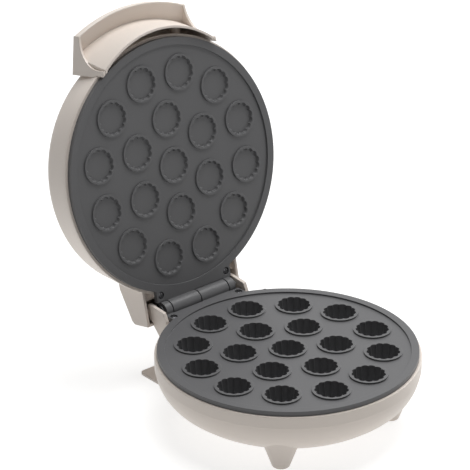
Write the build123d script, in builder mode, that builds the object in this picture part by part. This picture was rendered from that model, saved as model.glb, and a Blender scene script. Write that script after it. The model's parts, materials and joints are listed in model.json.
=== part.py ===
from build123d import *
import os
from math import cos, radians, sin

# A countertop cooker for mini canneles: a round moulded base and a round moulded lid, each with a
# cast plate. The lower plate has deep fluted cups, the upper one shallow fluted caps, and cast
# knuckles on both plates share one hinge pin. Millimetres, +Z up, front -Y, the floor at z = 0,
# the origin under the middle of the open cooker's outline. The lid stands open on its stop.

# Overall sizes
plate_middle = -53.4  # y of the lower plate's middle
parting_height = 68.0  # the two plates meet here when the lid is shut
rim_radius = 119.7  # both housings, at their rims
base_depth = 49.5  # from the parting plane down to the underside
lid_height = 46.5  # from the parting plane up to the shoulder of the lid
lid_crown = 3.0  # rise of the lid's top from shoulder to middle
open_angle = 103.0
bead_top = 8.5  # a bead round the lid's rim ends here
wall = 2.6  # moulded walls
ledge_width = 6.2  # rims turn in this far to carry the plates
ledge_thickness = 3.0

# Cast plates
plate_radius = rim_radius - 2.4
plate_gap = 0.2  # each plate's rim stands this far off the parting plane
flange_thickness = 4.6
rim_step_radius = rim_radius - 9.5
rim_step = 1.5

# Hollows: one in the middle, six round it, twelve outside
hollow_rings = ((0.0, 1, 0.0), (44.0, 6, 0.0), (85.0, 12, 15.0))  # radius, count, first angle
collar_radius = 16.8
flute_count = 13
flute_radius = 15.2  # at the bottom of a flute
flute_depth = 1.5
cup_depth = 23.5
cup_taper = 3.6  # radius lost from mouth to floor
cup_wall = 2.3
cap_depth = 2.5  # shallow hollows of the upper plate
cap_taper = 1.2

# Hinge
hinge_back = rim_radius + 8.3  # hinge axis behind the middle of the plates
knuckle_radius = 8.2
pin_radius = 3.0
pin_clearance = 0.05
knuckle_split = 33.5  # from the middle to the joint with the end knuckle
knuckle_end = 41.5
knuckle_gap = 1.1  # between neighbouring knuckles, along the pin
knuckle_clearance = 0.4  # round each knuckle
tab_half_width = 43.6
tab_screw_x = 38.8
tab_screw_y = hinge_back - 14.5
screw_radius = 1.9
screw_head_radius = 3.2
screw_head_height = 1.9
screw_length = 9.0
hole_clearance = 0.1
head_clearance = 0.25

# Hinge ears and saddle of the base
ear_inside = 46.1
ear_thickness = 3.5
ear_radius = 10.4
ear_top = 6.6
ear_front = 16.4  # ears start this far in front of the hinge axis
ear_round = 1.2
saddle_radius = knuckle_radius + 1.0

# Front of the base: a chin that slopes out under the lid's lip
chin_reach = rim_radius + 5.5
chin_arc = 99.2
chin_chord = 99.0  # the chin runs out on this line across the front
chin_top = 5.5
chin_bottom = 15.6
band_height = 16.5  # upper band of the base, below the parting plane
rim_round = 0.6
vent_ring = 52.0  # air slots in the underside
vent_count = 10
vent_length = 18.0
vent_width = 3.0

# Feet and rear stand
foot_ring = 92.5
foot_radius = 7.8
foot_slope = 0.361
foot_root = 34.0  # the feet run up into the bowl to this height above the floor
foot_round = 1.5
pad_radius = 5.0
pad_recess = 1.4
pad_proud = 0.4
stand_half_width = 54.0
stand_back = 146.0
stand_front = 77.0
stand_thickness = 2.5
stand_flange = 3.0
stand_flange_front = 50.0
stand_flange_x = 40.0
stand_screw_x = 28.0
stand_screw_y = 62.0

# Handle, measured with the lid shut
hood_radius = rim_radius + 27.6
hood_edge_bottom = 30.0
hood_edge_top = 37.6
hood_round = 1.0
hood_root = rim_radius + 11.3
hood_root_bottom = 36.8
hood_corner_x = 61.5
hood_corner_y = 134.2
cheek_back_x = 66.0
cheek_back_y = 99.0
cheek_thickness = 2.4
cheek_arc = 26.0
lip_drop = 4.0  # the lip hangs this far below the parting plane
lip_reach = rim_radius + 9.0
lip_arc = 96.3
lip_corner_x = 62.5
lip_wall = 2.2
handle_clearance = 0.15
handle_screw_x = 40.0
handle_screw_height = 22.0
handle_screw_length = 14.0
handle_boss_start = rim_radius - 12.0

# Hinge cover at the back of the lid
cover_half_width = 56.0
cover_back = hinge_back + 11.9
cover_edge_top = 24.4
cover_round = 1.5
cover_wall = 1.9
cover_side = 2.6
web_height = 9.0
web_back = hinge_back - 11.0
stop_gap = 0.3

# Heating
element_ring = 64.5
element_radius = 3.1
element_sink = 1.0  # depth of the seat in the plate
element_end_angle = 12.0  # the heater's two ends stand this far off the hinge side
element_bend = 8.0
strap_angles = (30.0, 150.0, 270.0)
strap_width = 8.0
strap_thickness = 1.2
strap_screw_rings = (53.0, 76.5)
shield_radius = rim_radius - 11.2
shield_wall = 0.8
lower_shield_depth = 27.5
upper_shield_depth = 12.0

# Cord gland at the back of the base, below its rim
gland_angle = 148.0
gland_drop = 12.2
gland_radius = 3.9

# Indicator lights in the lid
light_radius = 4.0
light_ring = 78.0
light_x = 9.0

rim_drop = plate_gap + flange_thickness  # the housings' rims, off the parting plane
ledge_radius = rim_radius - ledge_width
element_height = rim_drop + element_radius - element_sink
bottom = -base_depth
min_z = (Align.CENTER, Align.CENTER, Align.MIN)
max_z = (Align.CENTER, Align.CENTER, Align.MAX)


def tilted(angle):
    """Frame of a plate at the parting plane, turned open by angle about the hinge."""
    a = radians(angle)
    back = plate_middle + hinge_back * (1 - cos(a))
    origin = (0, back, parting_height + hinge_back * sin(a))
    return Plane(origin=origin, x_dir=(1, 0, 0), z_dir=(0, sin(a), cos(a)))


def turned(frame, angle):
    """The frame turned by angle about its own upright axis."""
    x_dir = frame.x_dir * cos(radians(angle)) + frame.y_dir * sin(radians(angle))
    return Plane(origin=frame.origin, x_dir=x_dir, z_dir=frame.z_dir)


def section(frame, angle=0.0):
    """Upright plane through a plate's middle, turned by angle: x outward, y along its axis."""
    across = turned(frame, angle)
    return Plane(origin=across.origin, x_dir=across.x_dir, z_dir=-across.y_dir)


def side(frame, x=0.0):
    """Upright plane across the hinge: x towards the back, y along the plate's axis."""
    return Plane(origin=frame.origin, x_dir=frame.y_dir, z_dir=frame.x_dir).offset(x)


def upright(frame):
    """The plate's own axis."""
    return Axis(frame.origin, frame.z_dir)


def at(frame, x, y, z=0.0):
    """The frame moved to a point given in its own directions."""
    return Plane(origin=frame.from_local_coords((x, y, z)), x_dir=frame.x_dir, z_dir=frame.z_dir)


def facing_away(frame, x, y, z):
    """A plane at a point of the frame, looking against the frame's z."""
    return Plane(origin=frame.from_local_coords((x, y, z)), x_dir=frame.x_dir, z_dir=-frame.z_dir)


def finish(builder, name):
    """Name a piece and write it."""
    builder.part.label = name
    export_step(builder.part, f"parts/{name}.step")


def on_ring(radius, angle):
    """Point on a ring, the angle counted from the front towards +X."""
    return (radius * sin(radians(angle)), -radius * cos(radians(angle)))


def hollow_centres():
    """Middles of the nineteen hollows."""
    return [
        on_ring(radius, first + 360 / count * k)
        for radius, count, first in hollow_rings
        for k in range(count)
    ]


def fluted_outline(radius):
    """Closed outline of outward flutes that meet in cusps."""
    step = 360 / flute_count
    cusp_radius = radius - flute_depth
    with BuildLine() as outline:
        for k in range(flute_count):
            ThreePointArc(
                on_ring(cusp_radius, step * (k - 0.5)),
                on_ring(radius, step * k),
                on_ring(cusp_radius, step * (k + 0.5)),
            )
    return outline.edges()


def fluted_hollow(depth, taper):
    """A fluted hollow that narrows from its mouth at z = 0 to its floor."""
    with BuildPart() as hollow:
        with BuildSketch():
            make_face(fluted_outline(flute_radius))
        with BuildSketch(Plane.XY.offset(depth)):
            make_face(fluted_outline(flute_radius - taper))
        loft(ruled=True)
    return hollow.part


def screw(head_radius, head_height, shank_radius, length):
    """A cross-slotted screw with its seat at z = 0, head above and shank below."""
    with BuildPart() as piece:
        Cylinder(head_radius, head_height, align=min_z)
        Cylinder(shank_radius, length, align=max_z)
        with BuildSketch(Plane.XY.offset(head_height)):
            Rectangle(1.2 * head_radius, 0.3 * head_radius)
            Rectangle(0.3 * head_radius, 1.2 * head_radius)
        extrude(amount=-0.5 * head_height, mode=Mode.SUBTRACT)
    return piece.part


def moved_in(point, centre, amount):
    """The point moved this far towards the centre."""
    return Vector(*point) + (Vector(*centre) - Vector(*point)).normalized() * amount


def base_outline(inset, top):
    """Half section of the base's bowl, its surface moved in by inset, filled up to top."""
    centre = (rim_radius - 42.9, bottom + 40.5)
    flat = (rim_radius - 27.7 - inset, bottom + inset)
    heel = moved_in((rim_radius - 23.0, bottom + 1.3), centre, inset)
    knee = moved_in((rim_radius - 20.8, bottom + 2.5), centre, inset)
    turn = moved_in((rim_radius - 12.7, bottom + 8.5), centre, inset)
    middle = moved_in((rim_radius - 5.2, bottom + 17.5), centre, inset)
    shoulder = (rim_radius - 0.4 - inset, -band_height)
    with BuildLine() as outline:
        Line((0, bottom + inset), flat)
        ThreePointArc(flat, heel, knee)
        Line(knee, turn)
        ThreePointArc(turn, middle, shoulder)
        Polyline(shoulder, (shoulder[0], top), (0, top), (0, bottom + inset))
    return outline.edges()


def lid_outline(grow, low):
    """Half section of the lid's shell, its surface moved out by grow, filled down to low."""
    centre = (rim_radius - 18.3, lid_height - 14.0)
    foot = (rim_radius - 0.5 + grow, low)
    bead = (rim_radius - 0.5 + grow, bead_top)
    shoulder = moved_in((rim_radius - 4.3, lid_height - 12.5), centre, -grow)
    round_middle = moved_in((rim_radius - 8.2, lid_height - 3.9), centre, -grow)
    crown_edge = moved_in((rim_radius - 18.3, lid_height), centre, -grow)
    crown_middle = (crown_edge.X / 2, lid_height + 0.75 * lid_crown + grow)
    top = (0, lid_height + lid_crown + grow)
    with BuildLine() as outline:
        Polyline((0, low), foot, bead, shoulder)
        ThreePointArc(shoulder, round_middle, crown_edge)
        ThreePointArc(crown_edge, crown_middle, top)
        Line(top, (0, low))
    return outline.edges()


def cast_plate(frame, rear, knuckles, other_knuckles, hollow, with_cups):
    """A cast plate with its rim, collars, hollows, hooks, rear tab and knuckles.

    The frame's z points away from the parting plane, and rear is the sign of its y at the hinge.
    """
    back = rear * hinge_back
    tab_end = hinge_back - knuckle_radius
    under = frame.offset(rim_drop)
    screw_spots = [(s * tab_screw_x, rear * tab_screw_y) for s in (-1, 1)]
    with BuildPart() as plate:
        with BuildSketch(frame.offset(plate_gap)):
            Circle(plate_radius)
            with Locations((0, rear * tab_end / 2)):
                Rectangle(2 * tab_half_width, tab_end)
            for start, end in knuckles:
                with Locations(((start + end) / 2, back / 2)):
                    Rectangle(end - start - knuckle_gap, hinge_back)
        extrude(amount=flange_thickness)
        with BuildSketch(frame.offset(plate_gap)):
            Circle(rim_step_radius)
            with Locations(*hollow_centres()):
                Circle(collar_radius, mode=Mode.SUBTRACT)
        extrude(amount=rim_step, mode=Mode.SUBTRACT)
        if with_cups:
            with Locations(*[at(frame, x, y, plate_gap) for x, y in hollow_centres()]):
                Cone(
                    flute_radius + cup_wall,
                    flute_radius + cup_wall - cup_taper,
                    cup_depth + cup_wall,
                    align=min_z,
                )
        for start, end in knuckles:
            with BuildSketch(side(frame, start + knuckle_gap / 2)):
                with Locations((back, 0)):
                    Circle(knuckle_radius)
            extrude(amount=end - start - knuckle_gap)
        for start, end in other_knuckles:
            with BuildSketch(side(frame, start - knuckle_gap / 2)):
                with Locations((back, 0)):
                    Circle(knuckle_radius + knuckle_clearance)
            extrude(amount=end - start + knuckle_gap, mode=Mode.SUBTRACT)
        with BuildSketch(side(frame, -knuckle_end)):
            with Locations((back, 0)):
                Circle(pin_radius + pin_clearance)
        extrude(amount=2 * knuckle_end, mode=Mode.SUBTRACT)
        with BuildSketch(frame.offset(plate_gap)):
            with Locations(*screw_spots):
                Circle(screw_radius + hole_clearance)
        extrude(amount=flange_thickness, mode=Mode.SUBTRACT)
        with BuildSketch(frame.offset(plate_gap)):
            with Locations(*screw_spots):
                Circle(screw_head_radius + head_clearance)
        extrude(amount=screw_head_height, mode=Mode.SUBTRACT)
        with Locations(*[at(frame, x, y, plate_gap) for x, y in hollow_centres()]):
            add(hollow, mode=Mode.SUBTRACT)
        with BuildSketch(section(frame)):
            with Locations((element_ring, element_height)):
                Circle(element_radius)
        revolve(axis=upright(frame), mode=Mode.SUBTRACT)
        with BuildSketch(under):
            for angle in strap_angles:
                with Locations(*[on_ring(ring, angle) for ring in strap_screw_rings]):
                    Circle(1.5 + hole_clearance)
        extrude(amount=-2.4, mode=Mode.SUBTRACT)
        for angle in (-125, -55):
            with BuildSketch(section(frame, rear * angle - 3)):
                with BuildLine():
                    Polyline(
                        (ledge_radius - 4, rim_drop - 1),
                        (ledge_radius - 0.4, rim_drop - 1),
                        (ledge_radius - 0.4, rim_drop + ledge_thickness + stop_gap),
                        (ledge_radius + 1.8, rim_drop + ledge_thickness + stop_gap),
                        (ledge_radius + 1.8, rim_drop + ledge_thickness + 2.6),
                        (ledge_radius - 4, rim_drop + ledge_thickness + 2.6),
                        close=True,
                    )
                make_face()
            revolve(axis=upright(frame), revolution_arc=6)
    return plate


def heater(frame, rear):
    """A round tubular heater, open at the hinge side, its ends turned away from the plate."""
    with BuildPart() as element:
        start = rear * 90 + element_end_angle
        with BuildSketch(section(frame, start)):
            with Locations((element_ring, element_height)):
                Circle(element_radius)
        revolve(axis=upright(frame), revolution_arc=360 - 2 * element_end_angle)
        for end in (-1, 1):
            across = turned(frame, rear * 90 + end * element_end_angle)
            bend = at(across, element_ring, 0, element_height + element_bend)
            with BuildSketch(Plane(origin=bend.origin, x_dir=bend.x_dir, z_dir=-bend.y_dir)):
                with Locations((0, -element_bend)):
                    Circle(element_radius)
            revolve(axis=Axis(bend.origin, end * across.x_dir), revolution_arc=-90)
            leg = at(across, element_ring, -end * element_bend, element_height + element_bend)
            with Locations(leg):
                Cylinder(element_radius, element_bend, align=min_z)
                Cylinder(1.3, element_bend + 6, align=min_z)
    return element


def heater_straps(frame):
    """Three bent straps that clamp a heater to its plate."""
    low = rim_drop
    high = element_height + element_radius
    inner, outer = strap_screw_rings
    with BuildPart() as straps:
        for angle in strap_angles:
            with BuildSketch(section(frame, angle - 90)):
                with BuildLine():
                    Polyline(
                        (inner - 4.5, low),
                        (inner - 4.5, low + strap_thickness),
                        (element_ring - 5.9, low + strap_thickness),
                        (element_ring - 4.1, high + strap_thickness),
                        (element_ring + 4.1, high + strap_thickness),
                        (element_ring + 5.9, low + strap_thickness),
                        (outer + 4.0, low + strap_thickness),
                        (outer + 4.0, low),
                        (element_ring + 5.1, low),
                        (element_ring + 3.3, high),
                        (element_ring - 3.3, high),
                        (element_ring - 5.1, low),
                        close=True,
                    )
                make_face()
            extrude(amount=strap_width / 2, both=True)
        with BuildSketch(frame.offset(low)):
            for angle in strap_angles:
                with Locations(*[on_ring(ring, angle) for ring in strap_screw_rings]):
                    Circle(1.5 + hole_clearance)
        extrude(amount=strap_thickness, mode=Mode.SUBTRACT)
    return straps


def strap_screws(frame):
    """Six screws, two for each strap."""
    one = screw(2.8, 1.6, 1.5, strap_thickness + 2.2)
    spots = [on_ring(ring, angle) for angle in strap_angles for ring in strap_screw_rings]
    with BuildPart() as screws:
        with Locations(*[at(frame, x, y, rim_drop + strap_thickness) for x, y in spots]):
            add(one)
    return screws


def heat_shield(frame, rear, depth):
    """A pressed pan behind a plate, with a lip on the plate and holes for the heater's ends."""
    low = rim_drop
    with BuildPart() as shield:
        with BuildSketch(section(frame)):
            with BuildLine():
                Polyline(
                    (0, depth),
                    (shield_radius - 4.5, depth),
                    (shield_radius - 2.5, low + shield_wall),
                    (shield_radius - 2.5, low),
                    (shield_radius, low),
                    (shield_radius, low + shield_wall),
                    (shield_radius - 1.7, low + shield_wall),
                    (shield_radius - 3.7, depth + shield_wall),
                    (0, depth + shield_wall),
                    close=True,
                )
            make_face()
        revolve(axis=upright(frame))
        for end in (-1, 1):
            across = turned(frame, rear * 90 + end * element_end_angle)
            leg = at(across, element_ring, -end * element_bend, depth)
            with Locations(leg):
                Cylinder(element_radius + 1.6, shield_wall, align=min_z, mode=Mode.SUBTRACT)
    return shield


base = tilted(0)
lid = tilted(open_angle)
down = Plane(origin=base.origin, x_dir=(1, 0, 0), z_dir=(0, 0, -1))
floor = Plane((0, plate_middle, 0))
gland_frame = section(base, gland_angle - 90)
gland_plane = Plane(
    origin=gland_frame.from_local_coords((0, -gland_drop, 0)),
    x_dir=gland_frame.y_dir,
    z_dir=gland_frame.x_dir,
)
os.makedirs("parts", exist_ok=True)

lower_knuckles = ((-knuckle_end, -knuckle_split), (0.0, knuckle_split))
upper_knuckles = ((-knuckle_split, 0.0), (knuckle_split, knuckle_end))
ear_end = ear_inside + ear_thickness
ear_low = (hinge_back + 3.0, -((ear_radius**2 - 3.0**2) ** 0.5))
trough_front = hinge_back - (saddle_radius**2 - rim_drop**2) ** 0.5
handle_seat = ((rim_radius - 2.6 - wall) ** 2 - handle_screw_x**2) ** 0.5 - 1.8
handle_hole = handle_seat + handle_screw_length + 0.4 - handle_boss_start
open_cos = cos(radians(open_angle))
open_sin = sin(radians(open_angle))


def cover_point(back, height):
    """Where a point of the hinge cover, given with the lid shut, stands with the lid open."""
    away = back - hinge_back
    return (
        hinge_back + away * open_cos + height * open_sin - stop_gap,
        height * open_cos - away * open_sin,
    )


# Base housing: bowl, band, chin, saddle and ears for the hinge, four hollow feet
with BuildPart() as base_housing:
    with BuildSketch(section(base)):
        make_face(base_outline(0, -rim_drop))
    revolve(axis=upright(base))
    with BuildSketch(base.offset(-band_height)):
        Circle(rim_radius)
    extrude(amount=band_height - rim_drop)
    fillet(base_housing.edges().filter_by(GeomType.CIRCLE).sort_by(Axis.Z)[-1], rim_round)
    # The saddle under the knuckles; its rear lip stops the opening lid
    stop_high = cover_point(cover_back - cover_wall, rim_drop)
    stop_low = cover_point(cover_back, rim_drop)
    with BuildSketch(side(base, -ear_end)):
        with BuildLine():
            Polyline(
                stop_high,
                stop_low,
                (hinge_back - 5.8, -19.8),
                (hinge_back - 10.5, -27.0),
                (hinge_back - 24.0, -38.0),
                (hinge_back - 40.0, -38.0),
                (hinge_back - 40.0, -rim_drop),
                (trough_front, -rim_drop),
            )
            ThreePointArc(
                (trough_front, -rim_drop),
                (hinge_back - saddle_radius * 0.6, -saddle_radius * 0.8),
                (hinge_back + 1.9, -((saddle_radius**2 - 1.9**2) ** 0.5)),
            )
            Line((hinge_back + 1.9, -((saddle_radius**2 - 1.9**2) ** 0.5)), stop_high)
        make_face()
    extrude(amount=2 * ear_end)
    for start in (-ear_end, ear_inside):
        with BuildSketch(side(base, start)):
            with BuildLine():
                Polyline(
                    ear_low,
                    (hinge_back - 1.4, -12.8),
                    (hinge_back - 5.0, -17.0),
                    (hinge_back - ear_front, -17.0),
                )
                FilletPolyline(
                    (hinge_back - ear_front, -17.0),
                    (hinge_back - ear_front, -2.7),
                    (hinge_back - ear_front + 4.1, ear_top - 1.5),
                    (hinge_back + ear_radius - 0.8, ear_top),
                    (hinge_back + ear_radius, 0),
                    radius=ear_round,
                )
                ThreePointArc(
                    (hinge_back + ear_radius, 0),
                    (hinge_back + ear_radius * 0.8, -ear_radius * 0.6),
                    ear_low,
                )
            make_face()
        extrude(amount=ear_thickness)
    # The chin widens downwards from the rim
    with BuildSketch(base.offset(-chin_bottom)):
        with Locations((0, chin_arc - chin_reach)):
            Circle(chin_arc)
        with Locations((0, -chin_chord)):
            Rectangle(3 * rim_radius, rim_radius, align=(Align.CENTER, Align.MAX), mode=Mode.INTERSECT)
    with BuildSketch(base.offset(-chin_top)):
        Circle(rim_radius)
        with Locations((0, -chin_chord)):
            Rectangle(3 * rim_radius, rim_radius, align=(Align.CENTER, Align.MAX), mode=Mode.INTERSECT)
    loft(ruled=True)
    for angle in (45, 135, 225, 315):
        with Locations(at(floor, *on_ring(foot_ring, angle), pad_proud)):
            Cone(foot_radius, foot_radius + foot_slope * foot_root, foot_root, align=min_z)
    fillet(base_housing.edges().filter_by(GeomType.CIRCLE).group_by(Axis.Z)[0], foot_round)
    # Hollow inside
    with BuildSketch(section(base)):
        make_face(base_outline(wall, -rim_drop - ledge_thickness))
        with Locations((0, -rim_drop - ledge_thickness)):
            Rectangle(ledge_radius, ledge_thickness, align=(Align.MIN, Align.MIN))
    revolve(axis=upright(base), mode=Mode.SUBTRACT)
    for angle in (45, 135, 225, 315):
        with Locations(at(floor, *on_ring(foot_ring, angle), 4)):
            Cone(
                foot_radius + foot_slope * 4 - wall,
                foot_radius + foot_slope * 24 - wall,
                20,
                align=min_z,
                mode=Mode.SUBTRACT,
            )
        with Locations(at(floor, *on_ring(foot_ring, angle), pad_proud)):
            Cylinder(pad_radius + hole_clearance, pad_recess, align=min_z, mode=Mode.SUBTRACT)
    # Air slots in the underside, none of them over the stand
    with BuildSketch(base.offset(bottom)):
        with PolarLocations(vent_ring, vent_count, start_angle=153, angular_range=234, endpoint=True):
            SlotOverall(vent_length, vent_width)
    extrude(amount=wall, mode=Mode.SUBTRACT)
    # Screw holes for the plate's tab, and bosses with holes for the stand
    with BuildSketch(base.offset(-rim_drop)):
        with Locations((-tab_screw_x, tab_screw_y), (tab_screw_x, tab_screw_y)):
            Circle(screw_radius + hole_clearance)
    extrude(amount=-screw_length, mode=Mode.SUBTRACT)
    with Locations(*[at(base, s * stand_screw_x, stand_screw_y, bottom) for s in (-1, 1)]):
        Cylinder(5, 9, align=min_z)
        Cylinder(screw_radius + hole_clearance, 8, align=min_z, mode=Mode.SUBTRACT)
    with Locations(at(gland_plane, 0, 0, rim_radius - wall - 4)):
        Cylinder(gland_radius + hole_clearance, wall + 8, align=min_z, mode=Mode.SUBTRACT)
finish(base_housing, "base_housing")

# Rear stand: a bent bracket whose heel keeps the open cooker from tipping back
with BuildPart() as rear_stand:
    heel_top = stand_thickness
    flange_low = parting_height + bottom - stand_flange
    with BuildSketch(floor):
        with Locations((0, stand_front)):
            Rectangle(2 * stand_half_width, stand_back - stand_front, align=(Align.CENTER, Align.MIN))
    extrude(amount=stand_thickness)
    fillet(rear_stand.edges().filter_by(Axis.Z), 4)
    with BuildSketch(floor.offset(heel_top)):
        with Locations((0, stand_front + 1.5)):
            Rectangle(2 * stand_flange_x, 3)
    extrude(amount=flange_low - heel_top)
    with BuildSketch(floor.offset(flange_low)):
        with Locations((0, stand_flange_front)):
            Rectangle(
                2 * stand_flange_x,
                stand_front + 3 - stand_flange_front,
                align=(Align.CENTER, Align.MIN),
            )
    extrude(amount=stand_flange)
    for x in (-stand_flange_x, -1.5, stand_flange_x - 3):
        with BuildSketch(side(floor, x)):
            with BuildLine():
                Polyline(
                    (stand_front + 1, flange_low),
                    (stand_front + 3, flange_low),
                    (stand_front + 42, heel_top),
                    (stand_front + 1, heel_top),
                    close=True,
                )
            make_face()
        extrude(amount=3)
    with Locations(*[at(floor, s * stand_screw_x, stand_screw_y, flange_low) for s in (-1, 1)]):
        Cylinder(screw_radius + hole_clearance, stand_flange, align=min_z, mode=Mode.SUBTRACT)
finish(rear_stand, "rear_stand")

with BuildPart() as rear_stand_screws:
    with Locations(
        *[facing_away(floor, s * stand_screw_x, stand_screw_y, flange_low) for s in (-1, 1)]
    ):
        add(screw(screw_head_radius, 2.2, screw_radius, stand_flange + 7))
finish(rear_stand_screws, "rear_stand_screws")

with BuildPart() as foot_pads:
    for angle in (45, 135, 225, 315):
        with Locations(at(floor, *on_ring(foot_ring, angle))):
            Cylinder(pad_radius, pad_proud + pad_recess, align=min_z)
finish(foot_pads, "foot_pads")

# Lower plate and its heating
lower_plate = cast_plate(
    down, -1, lower_knuckles, upper_knuckles, fluted_hollow(cup_depth, cup_taper), True
)
finish(lower_plate, "lower_plate")

tab_screw = screw(screw_head_radius, 1.7, screw_radius, flange_thickness + 7)
with BuildPart() as lower_tab_screws:
    seat = -plate_gap - screw_head_height
    with Locations(*[at(base, s * tab_screw_x, tab_screw_y, seat) for s in (-1, 1)]):
        add(tab_screw)
finish(lower_tab_screws, "lower_tab_screws")

lower_element = heater(down, -1)
finish(lower_element, "lower_element")
lower_element_straps = heater_straps(down)
finish(lower_element_straps, "lower_element_straps")
lower_strap_screws = strap_screws(down)
finish(lower_strap_screws, "lower_strap_screws")
lower_shield = heat_shield(down, -1, lower_shield_depth)
finish(lower_shield, "lower_shield")

# Hinge pin between the ears, with a ring clip at each end
clip_groove = 0.5
with BuildPart() as hinge_pin:
    with BuildSketch(side(base, -ear_inside + 0.2)):
        with Locations((hinge_back, 0)):
            Circle(pin_radius)
    extrude(amount=2 * ear_inside - 0.4)
    for start in (-knuckle_end - 1.7, knuckle_end + 0.5):
        with BuildSketch(side(base, start)):
            with Locations((hinge_back, 0)):
                Circle(pin_radius)
                Circle(pin_radius - clip_groove, mode=Mode.SUBTRACT)
        extrude(amount=1.2, mode=Mode.SUBTRACT)
finish(hinge_pin, "hinge_pin")

with BuildPart() as pin_clips:
    for start in (-knuckle_end - 1.6, knuckle_end + 0.6):
        with BuildSketch(side(base, start)):
            with Locations((hinge_back, 0)):
                Circle(pin_radius + 2.6)
                Circle(pin_radius - clip_groove, mode=Mode.SUBTRACT)
            with Locations((hinge_back + pin_radius + 1, 0)):
                Rectangle(pin_radius + 4, 3.6, mode=Mode.SUBTRACT)
        extrude(amount=1.0)
finish(pin_clips, "pin_clips")

# Lid housing: bell, hinge cover with its pocket, bosses, light holes
with BuildPart() as lid_housing:
    with BuildSketch(side(lid, -cover_half_width)) as cover:
        with BuildLine():
            Polyline(
                (hinge_back - 33, rim_drop),
                (cover_back, rim_drop),
                (cover_back, cover_edge_top),
                (cover_back - 2.9, cover_edge_top + 3.5),
                (cover_back - 32.2, cover_edge_top + 15),
                (hinge_back - 33, cover_edge_top + 15),
                close=True,
            )
        make_face()
        fillet(cover.vertices().sort_by(Axis.X)[-3:-1], cover_round)
    extrude(amount=2 * cover_half_width)
    pocket_half = cover_half_width - cover_side
    with BuildSketch(side(lid, -pocket_half)):
        with BuildLine():
            Polyline(
                (hinge_back - 33, rim_drop),
                (cover_back - cover_wall, rim_drop),
                (cover_back - cover_wall, cover_edge_top - 0.8),
                (cover_back - 3.8, cover_edge_top + 1.2),
                (web_back, cover_edge_top + 8.7),
                (web_back, web_height),
                (hinge_back - 33, web_height),
                close=True,
            )
        make_face()
    extrude(amount=2 * pocket_half, mode=Mode.SUBTRACT)
    with Locations(*[at(lid, s * tab_screw_x, tab_screw_y, rim_drop) for s in (-1, 1)]):
        Cylinder(4.5, web_height, align=min_z)
    with BuildSketch(section(lid)):
        make_face(lid_outline(0, rim_drop))
    revolve(axis=upright(lid))
    with BuildSketch(lid.offset(rim_drop)):
        Circle(rim_radius)
    extrude(amount=bead_top - rim_drop)
    with BuildSketch(section(lid)):
        make_face(lid_outline(-wall, rim_drop + ledge_thickness))
        with Locations((0, rim_drop)):
            Rectangle(ledge_radius, ledge_thickness, align=(Align.MIN, Align.MIN))
    revolve(axis=upright(lid), mode=Mode.SUBTRACT)
    with Locations(*[at(lid, s * tab_screw_x, tab_screw_y, rim_drop) for s in (-1, 1)]):
        Cylinder(screw_radius + hole_clearance, screw_length, align=min_z, mode=Mode.SUBTRACT)
    with BuildSketch(lid.offset(lid_height - 6)):
        with Locations((-light_x, -light_ring), (light_x, -light_ring)):
            Circle(light_radius + hole_clearance)
    extrude(amount=12, mode=Mode.SUBTRACT)
    handle_plane = Plane(origin=lid.origin, x_dir=lid.x_dir, z_dir=-lid.y_dir)
    with BuildSketch(handle_plane.offset(rim_radius - 20)):
        with Locations((-handle_screw_x, handle_screw_height), (handle_screw_x, handle_screw_height)):
            Circle(screw_radius + hole_clearance)
    extrude(amount=20, mode=Mode.SUBTRACT)
finish(lid_housing, "lid_housing")

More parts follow.
